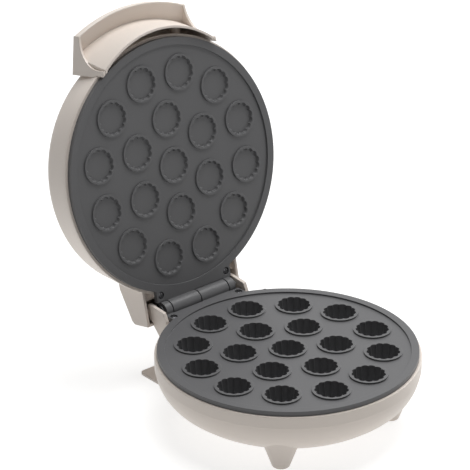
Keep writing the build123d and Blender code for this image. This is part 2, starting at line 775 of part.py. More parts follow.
# Handle: hood, two cheeks and a hanging lip, moulded apart from the lid
with BuildPart() as lid_handle:
    with BuildSketch(section(lid)) as hood:
        with BuildLine():
            Polyline(
                (rim_radius - 14, hood_root_bottom),
                (hood_root, hood_root_bottom),
                (hood_radius, hood_edge_bottom),
                (hood_radius, hood_edge_top),
                (rim_radius - 11.7, hood_edge_top + 7),
                (rim_radius - 14, hood_edge_top + 7.4),
                close=True,
            )
        make_face()
        fillet(hood.vertices().sort_by(Axis.X)[-2:], hood_round)
    revolve(axis=upright(lid))
    # Between the two cheeks
    splay = (cheek_back_x - hood_corner_x) / (hood_corner_y - cheek_back_y)
    with BuildSketch(lid):
        with BuildLine():
            Polyline(
                (cheek_back_x, -cheek_back_y),
                (hood_corner_x - 20 * splay, -hood_corner_y - 20),
                (-hood_corner_x + 20 * splay, -hood_corner_y - 20),
                (-cheek_back_x, -cheek_back_y),
                close=True,
            )
        make_face()
    extrude(amount=hood_edge_top + 20, mode=Mode.INTERSECT)
    for inset, low, high, mode in (
        (0.0, -lip_drop, hood_root_bottom + 1, Mode.ADD),
        (lip_wall, -lip_drop, hood_root_bottom - 2.3, Mode.SUBTRACT),
    ):
        low_x = lip_corner_x - inset
        low_arc = lip_arc - inset
        low_y = -(lip_reach - lip_arc) - (low_arc**2 - low_x**2) ** 0.5
        high_arc = hood_root - inset
        high_y = -((high_arc**2 - low_x**2) ** 0.5)
        with BuildSketch(lid.offset(low)):
            with BuildLine():
                ThreePointArc((-low_x, low_y), (0, -lip_reach + inset), (low_x, low_y))
                Polyline((low_x, low_y), (low_x, -cheek_back_y), (-low_x, -cheek_back_y), (-low_x, low_y))
            make_face()
        with BuildSketch(lid.offset(high)):
            with BuildLine():
                ThreePointArc((-low_x, high_y), (0, -high_arc), (low_x, high_y))
                Polyline((low_x, high_y), (low_x, -cheek_back_y), (-low_x, -cheek_back_y), (-low_x, high_y))
            make_face()
        loft(ruled=True, mode=mode)
    # Cheeks, the lower edge of each cut by a hollow round
    cheek_run = Vector(cheek_back_x - hood_corner_x, hood_corner_y - cheek_back_y, 0)
    cheek_dir = (lid.x_dir * cheek_run.X + lid.y_dir * cheek_run.Y).normalized()
    cheek_length = cheek_run.length
    cheek_plane = Plane(
        origin=lid.from_local_coords((hood_corner_x, -hood_corner_y, 0)),
        x_dir=cheek_dir,
        z_dir=cheek_dir.cross(lid.z_dir),
    )
    with BuildSketch(cheek_plane):
        with BuildLine():
            Polyline(
                (3.2 + cheek_arc, hood_edge_bottom - cheek_arc),
                (3.2 + cheek_arc, -lip_drop),
                (cheek_length, -lip_drop),
                (cheek_length, hood_edge_top + 5),
                (0, hood_edge_top),
                (0, hood_edge_bottom),
                (3.2, hood_edge_bottom),
            )
            ThreePointArc(
                (3.2, hood_edge_bottom),
                (3.2 + cheek_arc * 0.6, hood_edge_bottom - cheek_arc * 0.2),
                (3.2 + cheek_arc, hood_edge_bottom - cheek_arc),
            )
        make_face()
    extrude(amount=-cheek_thickness)
    mirror(about=Plane.YZ)
    with Locations(
        *[at(handle_plane, s * handle_screw_x, handle_screw_height, handle_boss_start) for s in (-1, 1)]
    ):
        Cylinder(4.5, handle_hole + 0.8, align=min_z)
    with BuildSketch(section(lid)):
        make_face(lid_outline(handle_clearance, -lip_drop - 1))
    revolve(axis=upright(lid), mode=Mode.SUBTRACT)
    with BuildSketch(lid.offset(-lip_drop - 1)):
        Circle(rim_radius + handle_clearance)
    extrude(amount=lip_drop + 1 + bead_top + handle_clearance, mode=Mode.SUBTRACT)
    with BuildSketch(handle_plane.offset(handle_boss_start)):
        with Locations((-handle_screw_x, handle_screw_height), (handle_screw_x, handle_screw_height)):
            Circle(screw_radius + hole_clearance)
    extrude(amount=handle_hole, mode=Mode.SUBTRACT)
finish(lid_handle, "lid_handle")

# Upper plate and its heating
upper_plate = cast_plate(
    lid, 1, upper_knuckles, lower_knuckles, fluted_hollow(cap_depth, cap_taper), False
)
finish(upper_plate, "upper_plate")

with BuildPart() as upper_tab_screws:
    seat = plate_gap + screw_head_height
    with Locations(*[facing_away(lid, s * tab_screw_x, tab_screw_y, seat) for s in (-1, 1)]):
        add(tab_screw)
finish(upper_tab_screws, "upper_tab_screws")

upper_element = heater(lid, 1)
finish(upper_element, "upper_element")
upper_element_straps = heater_straps(lid)
finish(upper_element_straps, "upper_element_straps")
upper_strap_screws = strap_screws(lid)
finish(upper_strap_screws, "upper_strap_screws")

# The upper shield has a hole in its middle for the thermostat
thermostat_radius = 8.0
thermostat_height = 12.0
upper_shield = heat_shield(lid, 1, upper_shield_depth)
with upper_shield:
    with Locations(at(lid, 0, 0, upper_shield_depth)):
        Cylinder(thermostat_radius + 6, shield_wall, align=min_z, mode=Mode.SUBTRACT)
finish(upper_shield, "upper_shield")

with BuildPart() as thermostat:
    with Locations(at(lid, 0, 0, rim_drop)):
        Cylinder(thermostat_radius, thermostat_height - 2, align=min_z)
        Cylinder(thermostat_radius + 3, 0.8, align=min_z)
    with Locations(at(lid, 0, 0, rim_drop + thermostat_height - 2)):
        Cylinder(thermostat_radius - 2, 2, align=min_z)
    with Locations(*[at(lid, x, 0, rim_drop + thermostat_height) for x in (-4, 4)]):
        Box(0.8, 6, 7, align=min_z)
finish(thermostat, "thermostat")

# A sleeved fuse lies on the shield under a saddle clip
fuse_y = -34.0
fuse_radius = 1.8
fuse_seat = upper_shield_depth + shield_wall
with BuildPart() as thermal_fuse:
    with BuildSketch(side(lid, -12)):
        with Locations((fuse_y, fuse_seat + fuse_radius)):
            Circle(fuse_radius)
    extrude(amount=24)
    with BuildSketch(side(lid, -17)):
        with Locations((fuse_y, fuse_seat + fuse_radius)):
            Circle(0.5)
    extrude(amount=34)
finish(thermal_fuse, "thermal_fuse")

with BuildPart() as fuse_clip:
    with BuildSketch(side(lid, -3)):
        with Locations((fuse_y, fuse_seat)):
            Rectangle(14, 0.8, align=(Align.CENTER, Align.MIN))
        with Locations((fuse_y, fuse_seat + fuse_radius)):
            Circle(fuse_radius + 0.8)
            Circle(fuse_radius, mode=Mode.SUBTRACT)
        with Locations((fuse_y, fuse_seat)):
            Rectangle(2 * fuse_radius, fuse_radius, align=(Align.CENTER, Align.MIN), mode=Mode.SUBTRACT)
            Rectangle(16, 8, align=(Align.CENTER, Align.MAX), mode=Mode.SUBTRACT)
    extrude(amount=6)
finish(fuse_clip, "fuse_clip")

# Indicator lights: lenses through the lid's top, lamps in a moulded holder under them
lens_top = lid_height + lid_crown * (1 - (light_ring / (rim_radius - 18.3)) ** 2) + 0.6
lens_flange = lens_top - wall - 2.2
for name, x in (("power_lens", -light_x), ("ready_lens", light_x)):
    with BuildPart() as lens:
        with Locations(at(lid, x, -light_ring, lens_flange)):
            Cylinder(light_radius, lens_top - lens_flange, align=min_z)
            Cylinder(light_radius + 1.2, 1.2, align=min_z)
        chamfer(lens.faces().sort_by(upright(lid))[-1].edges(), 0.6)
    finish(lens, name)

lamp_low = lens_flange - 9
with BuildPart() as lamp_holder:
    with BuildSketch(lid.offset(lamp_low)):
        with Locations((0, -light_ring)):
            RectangleRounded(2 * light_x + 13, 12, 3)
    extrude(amount=8)
    with Locations(*[at(lid, x, -light_ring, lamp_low) for x in (-light_x, light_x)]):
        Cylinder(3.1, 8, align=min_z, mode=Mode.SUBTRACT)
    with BuildSketch(lid.offset(lamp_low)):
        for x in (-light_x - 9, light_x + 9):
            with Locations((x, -light_ring)):
                Rectangle(9, 8)
    extrude(amount=2.2)
    with Locations(*[at(lid, x, -light_ring, lamp_low) for x in (-light_x - 10.5, light_x + 10.5)]):
        Cylinder(1.5 + hole_clearance, 2.2, align=min_z, mode=Mode.SUBTRACT)
finish(lamp_holder, "lamp_holder")

with BuildPart() as lamps:
    with Locations(*[at(lid, x, -light_ring, lamp_low - 3) for x in (-light_x, light_x)]):
        Cylinder(3, 10, align=min_z)
finish(lamps, "lamps")

with BuildPart() as lamp_holder_screws:
    spots = (-light_x - 10.5, light_x + 10.5)
    with Locations(*[facing_away(lid, x, -light_ring, lamp_low) for x in spots]):
        add(screw(2.8, 1.6, 1.5, 7))
finish(lamp_holder_screws, "lamp_holder_screws")

# Screws that hold the handle, driven from inside the lid
with BuildPart() as handle_screws:
    spots = [(s * handle_screw_x, handle_screw_height, handle_seat) for s in (-1, 1)]
    with Locations(*[facing_away(handle_plane, *spot) for spot in spots]):
        add(screw(screw_head_radius, 2.2, screw_radius, handle_screw_length))
finish(handle_screws, "handle_screws")

# Wiring of the base: a block of terminals on its floor and a gland in its wall
with BuildPart() as terminal_block:
    with Locations(at(base, 0, 28, bottom + wall)):
        Box(32, 14, 10, align=min_z)
    with Locations(*[at(base, x, 28, bottom + wall + 10) for x in (-10, 10)]):
        Cylinder(2.2, 4, align=max_z, mode=Mode.SUBTRACT)
    with BuildSketch(side(base, -16)):
        with Locations((28, bottom + wall + 5)):
            Rectangle(18, 3)
    extrude(amount=5)
finish(terminal_block, "terminal_block")

with BuildPart() as cord_gland:
    with Locations(at(gland_plane, 0, 0, rim_radius - wall - 2.6)):
        Cylinder(gland_radius + 0.3, 2, align=min_z)
    with Locations(at(gland_plane, 0, 0, rim_radius - wall - 1)):
        Cylinder(gland_radius, wall + 3, align=min_z)
    with Locations(at(gland_plane, 0, 0, rim_radius)):
        Cone(gland_radius + 1.2, gland_radius, 14, align=min_z)
    with Locations(at(gland_plane, 0, 0, rim_radius - wall - 3)):
        Cylinder(gland_radius - 1, 30, align=min_z, mode=Mode.SUBTRACT)
finish(cord_gland, "cord_gland")
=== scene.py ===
# %% [markdown]
# # A mini cannele maker, finished in Blender
# This is a table-top cooker: two round cast plates with fluted cups, in a base and a lid of moulded
# plastic that a steel pin joins. Its solid pieces come in as a fixed set, in metres. They could be
# modelled again here, but then their sizes could drift, so they stay as they are. This lesson gives
# each one the surface of the real thing, makes anew the few whose edges need a finer shape, and
# lights the whole for a product picture.

# %% Load the solid pieces
import bpy
import bmesh
import json
from math import cos, pi, radians, sin
from mathutils import Euler, Matrix, Vector


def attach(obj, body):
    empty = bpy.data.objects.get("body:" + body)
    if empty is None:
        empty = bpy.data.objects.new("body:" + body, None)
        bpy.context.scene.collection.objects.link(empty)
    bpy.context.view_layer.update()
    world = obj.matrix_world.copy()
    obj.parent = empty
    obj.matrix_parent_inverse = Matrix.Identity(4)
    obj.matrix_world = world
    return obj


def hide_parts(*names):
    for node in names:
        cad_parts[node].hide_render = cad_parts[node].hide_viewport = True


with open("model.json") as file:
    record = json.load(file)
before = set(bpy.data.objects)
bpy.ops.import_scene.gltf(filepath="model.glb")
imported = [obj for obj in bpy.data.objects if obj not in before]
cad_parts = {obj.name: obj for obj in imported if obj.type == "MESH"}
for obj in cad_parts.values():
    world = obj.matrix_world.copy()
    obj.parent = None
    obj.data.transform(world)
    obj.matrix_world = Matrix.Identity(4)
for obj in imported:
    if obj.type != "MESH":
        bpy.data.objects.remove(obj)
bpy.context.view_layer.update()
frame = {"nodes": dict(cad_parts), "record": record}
pieces = frame["nodes"]

# %% [markdown]
# ## The camera
# A camera can be placed by eye, or from measured angles. Product pictures like this one are taken
# from far away with a long lens, so that circles stay nearly true ellipses. The ellipses of the
# cups' rims tell the angles, the distance and the lens, so the camera is built from those numbers.

# %% Camera
MM = 0.001  # a millimetre, in metres
target = Vector((-7.6, 10.5, 158.5)) * MM
azimuth, elevation, roll = radians(-40.39), radians(25.80), radians(-0.106)
distance = 2571.8 * MM
sensor_width, focal_length = 36, 220.5  # in millimetres, as on a real camera

away = Vector((sin(azimuth) * cos(elevation), -cos(azimuth) * cos(elevation), sin(elevation)))
camera_data = bpy.data.cameras.new("camera")
camera_data.sensor_width = sensor_width
camera_data.lens = focal_length
camera = bpy.data.objects.new("camera", camera_data)
turn = Euler((radians(90) - elevation, 0, azimuth)).to_matrix() @ Matrix.Rotation(roll, 3, "Z")
camera.matrix_world = Matrix.Translation(target + away * distance) @ turn.to_4x4()
bpy.context.scene.collection.objects.link(camera)
bpy.context.scene.camera = camera
print("camera at", [round(v, 3) for v in camera.matrix_world.translation])

# %% [markdown]
# ## Colours
# Colour charts and screens give a colour as an sRGB hex code. A shader works in linear light, where
# half as much light is half the number, so one helper turns a code to linear values. Typing linear
# numbers by hand would work too, but nobody can read a colour from them.

# %% Hex colours
def colour(hex_code):
    """An sRGB hex colour as linear red, green, blue and alpha."""
    parts = [int(hex_code[i:i + 2], 16) / 255 for i in (0, 2, 4)]
    return [c / 12.92 if c <= 0.04045 else ((c + 0.055) / 1.055) ** 2.4 for c in parts] + [1.0]


print("a middle grey, 808080, is", round(colour("808080")[0], 3), "of white in light")

# %% [markdown]
# ## Nodes
# A material is a small net of nodes. It could be drawn by hand in the node editor, but written down
# it can be made again and shared. One helper adds a node of any kind, with its settings and its
# links, and one starts an empty material. A texture's Scale says how many of its patches lie in a
# metre, so a third helper works it out from the size of one patch in millimetres.

# %% Add a node, start a material, scale a pattern
def node(tree, kind, settings=None, links=None):
    """Adds a node, sets its values by name, and links its inputs, by name or number."""
    added = tree.nodes.new(kind)
    for name, value in (settings or {}).items():
        if hasattr(added, name):
            setattr(added, name, value)
        else:
            added.inputs[name].default_value = value
    for name, output in (links or {}).items():
        tree.links.new(output, added.inputs[name])
    return added


def new_material(name):
    """An empty material, its node tree, and the tree's Object coordinates."""
    made = bpy.data.materials.new(name)
    made.use_nodes = True
    made.node_tree.nodes.clear()
    place = node(made.node_tree, "ShaderNodeTexCoord").outputs["Object"]
    return made, made.node_tree, place


def scale_for(size):
    """The texture Scale whose patches are this many millimetres wide."""
    return 1 / (size * MM)


print("patches of 2 mm need a Scale of", round(scale_for(2)))

# %% [markdown]
# ## Edges and relief
# No moulded, cast or stamped edge is truly sharp, and no surface truly smooth. Real roundings and
# real dents would need a very fine mesh. A bevel node rounds only how light meets an edge, and a
# bump node tilts the surface a little by a pattern, so the solid pieces can stay as they are.

# %% Rounded edges and bumps
def relief(tree, height, strength, depth, radius, samples):
    """A normal with bumps of a depth, on edges of a radius, both in millimetres."""
    edge = node(tree, "ShaderNodeBevel", {"samples": samples, "Radius": radius * MM})
    bump = node(tree, "ShaderNodeBump", {"Strength": strength, "Distance": depth * MM},
                {"Height": height, "Normal": edge.outputs["Normal"]})
    return bump.outputs["Normal"]


print("relief: a bevel node and a bump node")

# %% [markdown]
# ## Moulded housing
# The base, the lid, the handle and the stand are injection-moulded ABS, coloured through in a warm
# greige. The mould is spark-eroded, which leaves a fine matt grain, so the plastic shines softly
# and shows no sharp reflections. Its colour drifts very slightly where the melt flowed. The grain
# could come from a picture, but noise has no seams and no edge where it repeats.

# %% Moulded housing plastic
def moulded_plastic(name, base, drift):
    """Matt injection-moulded plastic with a spark-eroded grain."""
    made, tree, place = new_material(name)
    flow = node(tree, "ShaderNodeTexNoise", {"Scale": scale_for(111.1), "Detail": 3.0},
                {"Vector": place})
    # Each step of Detail halves the patches, so these end in grains of 0.35 mm.
    grain = node(tree, "ShaderNodeTexNoise", {"Scale": scale_for(1.4), "Detail": 2.0},
                 {"Vector": place})
    tone = node(tree, "ShaderNodeMix",
                {"data_type": "RGBA", "A": colour(base), "B": colour(drift)},
                {"Factor": flow.outputs["Fac"]})
    dull = node(tree, "ShaderNodeMapRange", {"To Min": 0.34, "To Max": 0.48},
                {"Value": grain.outputs["Fac"]})
    shader = node(tree, "ShaderNodeBsdfPrincipled", {"IOR": 1.5}, {
        "Base Color": tone.outputs["Result"],
        "Roughness": dull.outputs["Result"],
        "Normal": relief(tree, grain.outputs["Fac"], 0.10, depth=0.12, radius=1.2, samples=6),
    })
    node(tree, "ShaderNodeOutputMaterial", links={"Surface": shader.outputs["BSDF"]})
    return made


housing_plastic = moulded_plastic("housing_abs_greige", "E4DAD1", "DDD3CA")
print("made", housing_plastic.name)

# %% [markdown]
# ## Non-stick coat on cast aluminium
# Both plates are cast aluminium with a sprayed and baked PTFE coat. It is dark grey and half matt,
# with a faint orange peel of one or two millimetres and tiny mica specks. The steep walls of the
# deep cups get a paler grey painted on, more of it deeper down. This is painted light, which stands
# in for the light that reaches these walls too little. Painting that by hand would need a picture
# for each plate. The height of a point says where it goes, because all that shows below the lower
# plate's top is its cups' walls.

# %% Non-stick coat
# Painted light: from the first height down to the second, the cups' walls turn to a paler grey.
painted_light_from, painted_light_to = 66.0, 54.0  # heights above the floor, from the mouths to over halfway down


def nonstick_coat(name, base, drift, painted_cup_light, speck):
    """Sprayed and baked PTFE coat on a casting, with painted light in its cups."""
    made, tree, place = new_material(name)
    peel = node(tree, "ShaderNodeTexNoise", {"Scale": scale_for(2.38), "Detail": 2.0},
                {"Vector": place})
    cloud = node(tree, "ShaderNodeTexNoise", {"Scale": scale_for(71.4), "Detail": 4.0},
                 {"Vector": place})
    tone = node(tree, "ShaderNodeMix",
                {"data_type": "RGBA", "A": colour(base), "B": colour(drift)},
                {"Factor": cloud.outputs["Fac"]})
    # Below the plate's top the tone turns paler with depth: this is painted light on the cups'
    # walls.
    height = node(tree, "ShaderNodeSeparateXYZ", links={"Vector": place}).outputs["Z"]
    depth = node(tree, "ShaderNodeMapRange",
                 {"From Min": painted_light_from * MM, "From Max": painted_light_to * MM}, {"Value": height})
    tone_with_painted_light = node(tree, "ShaderNodeMix", {"data_type": "RGBA", "B": colour(painted_cup_light)},
                   {"Factor": depth.outputs["Result"], "A": tone.outputs["Result"]})
    # One speck in each patch of 1.1 mm, up to a quarter of a millimetre wide.
    specks = node(tree, "ShaderNodeTexVoronoi", {"Scale": scale_for(1.111)}, {"Vector": place})
    flake = node(tree, "ShaderNodeMapRange",
                 {"From Min": 0.04, "From Max": 0.12, "To Min": 1.0, "To Max": 0.0},
                 {"Value": specks.outputs["Distance"]})
    speckled = node(tree, "ShaderNodeMix", {"data_type": "RGBA", "B": colour(speck)},
                    {"Factor": flake.outputs["Result"], "A": tone_with_painted_light.outputs["Result"]})
    dull = node(tree, "ShaderNodeMapRange", {"To Min": 0.34, "To Max": 0.48},
                {"Value": cloud.outputs["Fac"]})
    shader = node(tree, "ShaderNodeBsdfPrincipled", {"IOR": 1.45}, {
        "Base Color": speckled.outputs["Result"],
        "Roughness": dull.outputs["Result"],
        "Normal": relief(tree, peel.outputs["Fac"], 0.12, depth=0.2, radius=0.35, samples=6),
    })
    node(tree, "ShaderNodeOutputMaterial", links={"Surface": shader.outputs["BSDF"]})
    return made


# The paler grey 727274 is painted light in the cups.
plate_coat = nonstick_coat("ptfe_coat_on_cast_aluminium", base="58585A", drift="606061",
                           painted_cup_light="727274", speck="7C7C7C")
print("made", plate_coat.name)

# %% [markdown]
# ## Metals
# Six metal finishes are at the hinge, behind or inside. A metal's colour is its reflection, so each
# keeps the default IOR, and they differ in colour, in roughness and in the marks of how they were
# made. Brushed metal is often drawn with an anisotropic shader. Noise that is drawn out along one
# way gives the same streaks, and it lets grinding, rolling and plating share one function.

# %% A metal with marks
def marked_metal(name, light, dark, rough, marks):
    """Bare or plated metal; marks are the sizes of its marks along X, Y and Z in millimetres."""
    made, tree, place = new_material(name)
    drawn = node(tree, "ShaderNodeMapping", {"Scale": [scale_for(size) for size in marks]},
                 {"Vector": place})
    streaks = node(tree, "ShaderNodeTexNoise", {"Scale": 1.0, "Detail": 4.0},
                   {"Vector": drawn.outputs["Vector"]})
    stain = node(tree, "ShaderNodeTexNoise", {"Scale": scale_for(45.45), "Detail": 3.0},
                 {"Vector": place})
    tone = node(tree, "ShaderNodeMix",
                {"data_type": "RGBA", "A": colour(light), "B": colour(dark)},
                {"Factor": stain.outputs["Fac"]})
    dull = node(tree, "ShaderNodeMapRange", {"To Min": rough - 0.08, "To Max": rough + 0.10},
                {"Value": streaks.outputs["Fac"]})
    shader = node(tree, "ShaderNodeBsdfPrincipled", {"Metallic": 1.0}, {
        "Base Color": tone.outputs["Result"],
        "Roughness": dull.outputs["Result"],
        "Normal": relief(tree, streaks.outputs["Fac"], 0.05, depth=0.1, radius=0.3, samples=4),
    })
    node(tree, "ShaderNodeOutputMaterial", links={"Surface": shader.outputs["BSDF"]})
    return made


# The pin's rod is finished along its length, which draws bright hairlines.
ground_steel = marked_metal("ground_steel", "C9C9C7", "B0B0AE", 0.26, (33.3, 0.556, 0.556))
print("made", ground_steel.name)

# %% The other metals
# Phosphate makes the pin's clips dark and dull.
spring_steel = marked_metal("phosphated_spring_steel", "59595A", "343436", 0.5, (3.33, 3.33, 3.33))
# Zinc plate is pale and half bright, with cloudy patches.
zinc_plate = marked_metal("zinc_plated_steel", "D3D4CF", "B9BCB8", 0.34, (6.25, 6.25, 6.25))
# Rolling leaves long shallow streaks one way on the pans behind the heaters.
rolled_aluminium = marked_metal("rolled_aluminium_sheet", "DADADA", "C6C6C6", 0.30,
                                (25.0, 0.833, 25.0))
# Its own heat has tinted the heater's tube straw and blue.
heater_tube = marked_metal("heat_tinted_steel_tube", "8F867A", "5E5F6B", 0.42, (11.1, 11.1, 11.1))
# Blackened screws are dark grey, and their pressed heads still shine a little.
black_screw = marked_metal("blackened_screw", "626264", "4C4C4E", 0.40, (2.5, 2.5, 2.5))
metals = [ground_steel, spring_steel, zinc_plate, rolled_aluminium, heater_tube, black_screw]
print("made", [metal.name for metal in metals])

# %% [markdown]
# ## Rubber and resins
# The foot pads and the cord's gland are black rubber with a dull bloom. The thermostat is a brown
# phenolic moulding, and the terminal block and the lamp holder are white and black nylon, a little
# smoother. Each could have a net of its own. All are solid colours with a fine grain that scatter
# the light, so one function serves them with other colours, roughness and grain.

# %% Rubber and opaque resins
def dull_solid(name, base, drift, rough, grain_size, dent):
    """Rubber or resin with a fine grain, its size in millimetres."""
    made, tree, place = new_material(name)
    bloom = node(tree, "ShaderNodeTexNoise", {"Scale": scale_for(25.0), "Detail": 3.0},
                 {"Vector": place})
    grain = node(tree, "ShaderNodeTexNoise", {"Scale": scale_for(grain_size), "Detail": 2.0},
                 {"Vector": place})
    tone = node(tree, "ShaderNodeMix",
                {"data_type": "RGBA", "A": colour(base), "B": colour(drift)},
                {"Factor": bloom.outputs["Fac"]})
    dull = node(tree, "ShaderNodeMapRange", {"To Min": rough - 0.05, "To Max": rough + 0.08},
                {"Value": bloom.outputs["Fac"]})
    shader = node(tree, "ShaderNodeBsdfPrincipled", {"IOR": 1.5}, {
        "Base Color": tone.outputs["Result"],
        "Roughness": dull.outputs["Result"],
        "Normal": relief(tree, grain.outputs["Fac"], dent, depth=0.2, radius=0.4, samples=4),
    })
    node(tree, "ShaderNodeOutputMaterial", links={"Surface": shader.outputs["BSDF"]})
    return made


pad_rubber = dull_solid("moulded_rubber", "262626", "303030", 0.7, 1.43, 0.15)
white_nylon = dull_solid("white_nylon", "E6E3DA", "DDD9CF", 0.45, 2.0, 0.05)
brown_phenolic = dull_solid("brown_phenolic_resin", "4A3426", "3C2A1F", 0.38, 2.0, 0.06)
black_nylon = dull_solid("black_nylon", "232323", "2B2B2B", 0.45, 2.0, 0.06)
print("made", [solid.name for solid in (pad_rubber, white_nylon, brown_phenolic, black_nylon)])

# %% [markdown]
# ## Woven glass sleeve
# The thermal fuse lies in a sleeve woven of glass yarn, pale and soft with fine ridges. Real yarns
# are about 0.6 mm wide, too fine to show at this distance, so the waves stand 3.8 mm apart. Woven
# threads could be modelled, but nobody sees more of this sleeve than its colour and ridges.

# %% Sleeve of the fuse
ridge_apart = 3.77
waves_per_unit = 20 / (2 * pi)  # how many waves the wave texture has in a unit at a Scale of 1


def woven_sleeve(name, yarn, gap):
    """Woven glass yarn."""
    made, tree, place = new_material(name)
    weave = node(tree, "ShaderNodeTexWave",
                 {"Scale": scale_for(ridge_apart) / waves_per_unit, "Distortion": 0.4},
                 {"Vector": place})
    tone = node(tree, "ShaderNodeMix",
                {"data_type": "RGBA", "A": colour(yarn), "B": colour(gap)},
                {"Factor": weave.outputs["Fac"]})
    bump = node(tree, "ShaderNodeBump", {"Strength": 0.5, "Distance": 0.2 * MM},
                {"Height": weave.outputs["Fac"]})
    shader = node(tree, "ShaderNodeBsdfPrincipled", {"Roughness": 0.6},
                  {"Base Color": tone.outputs["Result"], "Normal": bump.outputs["Normal"]})
    node(tree, "ShaderNodeOutputMaterial", links={"Surface": shader.outputs["BSDF"]})
    return made


glass_sleeve = woven_sleeve("woven_glass_sleeve", yarn="E8E2D2", gap="CFC8B6")
print("made", glass_sleeve.name)

# %% [markdown]
# ## Clear resin and glass
# The two lenses are cast of tinted acrylic: light goes partly through them, and their polished
# domes shine. The lamps behind them are clear glass. Full glass with nothing behind it would look
# black or empty, so the lenses pass only a part of the light and keep a body of colour. A faint
# ripple, as a mould or a flame leaves it, breaks up the reflections.

# %% Lenses' acrylic and lamp glass
def clear_resin(name, tint, passes, rough):
    """Tinted clear resin or glass."""
    made, tree, place = new_material(name)
    ripple = node(tree, "ShaderNodeTexNoise", {"Scale": scale_for(3.846), "Detail": 1.0},
                  {"Vector": place})
    bump = node(tree, "ShaderNodeBump", {"Strength": 0.05, "Distance": 0.2 * MM},
                {"Height": ripple.outputs["Fac"]})
    shader = node(tree, "ShaderNodeBsdfPrincipled", {
        "Base Color": colour(tint), "Roughness": rough, "IOR": 1.49,
        "Transmission Weight": passes,
    }, {"Normal": bump.outputs["Normal"]})
    node(tree, "ShaderNodeOutputMaterial", links={"Surface": shader.outputs["BSDF"]})
    return made


red_resin = clear_resin("red_acrylic", "B3140C", passes=0.45, rough=0.12)
green_resin = clear_resin("green_acrylic", "1E8A35", passes=0.45, rough=0.12)
lamp_glass = clear_resin("lamp_glass", "F2D9C8", passes=0.8, rough=0.05)
print("made", [clear.name for clear in (red_resin, green_resin, lamp_glass)])

# %% [markdown]
# ## Give the solid pieces their materials
# The record names a slot of finish for every piece. Materials could be handed out piece by piece,
# but one table from slot to material keeps pieces of one finish alike, as they are when they come
# from one bag of granulate or one plating bath.

# %% Materials of the solid pieces
finishes = {
    "cream_moulding": housing_plastic,
    "nonstick_cast": plate_coat,
    "bright_steel": ground_steel,
    "spring_steel": spring_steel,
    "heater_tube": heater_tube,
    "plated_sheet": zinc_plate,
    "aluminium_sheet": rolled_aluminium,
    "dark_screws": black_screw,
    "plated_screws": zinc_plate,
    "pad_rubber": pad_rubber,
    "white_block": white_nylon,
    "gland_rubber": pad_rubber,
    "thermostat_body": brown_phenolic,
    "fuse_sleeve": glass_sleeve,
    "lamp_holder_black": black_nylon,
    "lamp_glass": lamp_glass,
    "red_lens": red_resin,
    "green_lens": green_resin,
}
slot_of = {entry["node"]: entry["material_slot"] for entry in frame["record"]["subparts"]}
for name, piece in pieces.items():
    piece.data.materials.clear()
    piece.data.materials.append(finishes[slot_of[name]])
print("finished", len(pieces), "pieces")

# %% [markdown]
# ## Where the base and the lid are
# The lid's own pieces could be worked out where the open lid holds them, at a slant. They are
# easier to make flat, as if the lid were shut, and are then put in place by a matrix: it turns by
# the opening angle and moves to the middle of the lid's plate. The base has a matrix too, which
# only moves.

# %% Places
hinge_back = 128.0  # from the plates' middle back to the hinge pin
plate_middle = -53.4  # where the lower plate's middle is along Y
parting_height = 68.0  # the pin's height, at which the plates part
lean = radians(103)  # the lid's turn from shut to open

base_place = Matrix.Translation(Vector((0, plate_middle, parting_height)) * MM)
lid_middle = Vector((0, plate_middle + hinge_back * (1 - cos(lean)),
                     parting_height + hinge_back * sin(lean))) * MM
lid_place = Matrix.Translation(lid_middle) @ Matrix.Rotation(-lean, 4, "X")


def spot(place, x, y, z, upside_down=False):
    """A place moved to a point given in its own millimetres, and turned over if asked."""
    moved = place @ Matrix.Translation(Vector((x, y, z)) * MM)
    return moved @ Matrix.Rotation(radians(180), 4, "X") if upside_down else moved


print("the lid's plate has its middle at", [round(v, 3) for v in lid_middle])

# %% [markdown]
# ## Turned pieces
# Screws, pads, lenses and the cord's gland are round. They could start from cylinders that are cut
# and bevelled. A profile, a chain of points from the axis outwards that is spun about the axis,
# says every step and rounding of them at once. Spin leaves a pile of points on the axis, so the
# doubles are merged before the faces are turned outwards.

# %% Spin a profile
def turned(profile, steps, closed=False):
    """A bmesh of a profile of (radius, height) points in millimetres, spun about Z."""
    shape = bmesh.new()
    chain = [shape.verts.new((radius * MM, 0, height * MM)) for radius, height in profile]
    if closed:
        chain.append(chain[0])
    edges = [shape.edges.new(pair) for pair in zip(chain, chain[1:])]
    bmesh.ops.spin(shape, geom=shape.verts[:] + edges, cent=(0, 0, 0), axis=(0, 0, 1),
                   angle=radians(360), steps=steps, use_merge=True)
    bmesh.ops.remove_doubles(shape, verts=shape.verts, dist=0.001 * MM)
    bmesh.ops.recalc_face_normals(shape, faces=shape.faces)
    return shape


disc = turned([(0, 1), (5, 1), (5, 0), (0, 0)], 12)
print("a disc spun in 12 steps has", len(disc.verts), "points, two of them on the axis")
disc.free()

# %% [markdown]
# ## Put copies in place
# A pair of screws or four pads are one shape, several times. Linked copies would each be an object
# that has to be turned and moved, and here a finished object sits at the origin with its place in
# its mesh. So the copies are made inside the bmesh, and each one's points are moved.

# %% Put copies in place
def put(shape, places):
    """One copy of the shape in each of the places."""
    first = shape.verts[:] + shape.edges[:] + shape.faces[:]
    moves = [(shape.verts[:], places[0])]
    for place in places[1:]:
        copy = bmesh.ops.duplicate(shape, geom=first)["geom"]
        moves.append(([v for v in copy if isinstance(v, bmesh.types.BMVert)], place))
    for points, place in moves:
        bmesh.ops.transform(shape, matrix=place, verts=points)


pair = turned([(0, 1), (5, 1), (5, 0), (0, 0)], 12)
put(pair, [spot(base_place, x, 0, 0) for x in (-10, 10)])
print("two discs have", len(pair.verts), "points")
pair.free()

